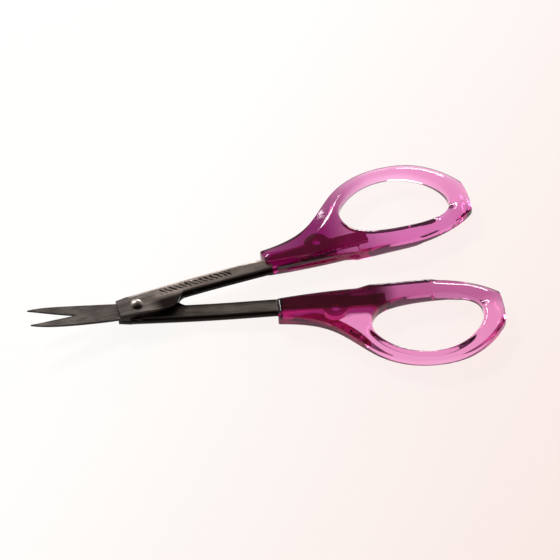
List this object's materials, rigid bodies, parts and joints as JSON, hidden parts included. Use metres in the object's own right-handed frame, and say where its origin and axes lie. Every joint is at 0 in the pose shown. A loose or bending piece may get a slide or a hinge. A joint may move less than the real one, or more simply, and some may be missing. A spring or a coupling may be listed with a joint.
{
  "type": "curved-tip craft scissors",
  "caption": "Small curved-tip craft scissors: folded steel halves on a domed rivet, with translucent pink moulded finger-loop handles.",
  "frame": {"origin": "on the rivet's axis, in the plane where the two halves slide on each other", "axes": "+X along the mid line from the tips to the finger loops, +Z out of the face that carries the domed rivet head"},
  "size_m": [0.1116, 0.0624, 0.006],
  "materials": {
    "front_steel": "brushed, dark satin",
    "back_steel": "brushed, dark satin",
    "rivet_steel": "polished dome",
    "front_plastic": "translucent gloss, magenta pink",
    "back_plastic": "translucent gloss, magenta pink"
  },
  "bodies": {
    "back_half": {"back_blade": "back_steel", "back_handle": "back_plastic"},
    "front_half": {"front_blade": "front_steel", "front_handle": "front_plastic", "pivot_rivet": "rivet_steel"}
  },
  "joints": [
    {"name": "pivot_hinge", "type": "hinge", "parent": "back_half", "child": "front_half", "pos_m": [0, 0, 0], "axis": [0, 0, 1], "range_deg": [-10.4, 60]}
  ]
}
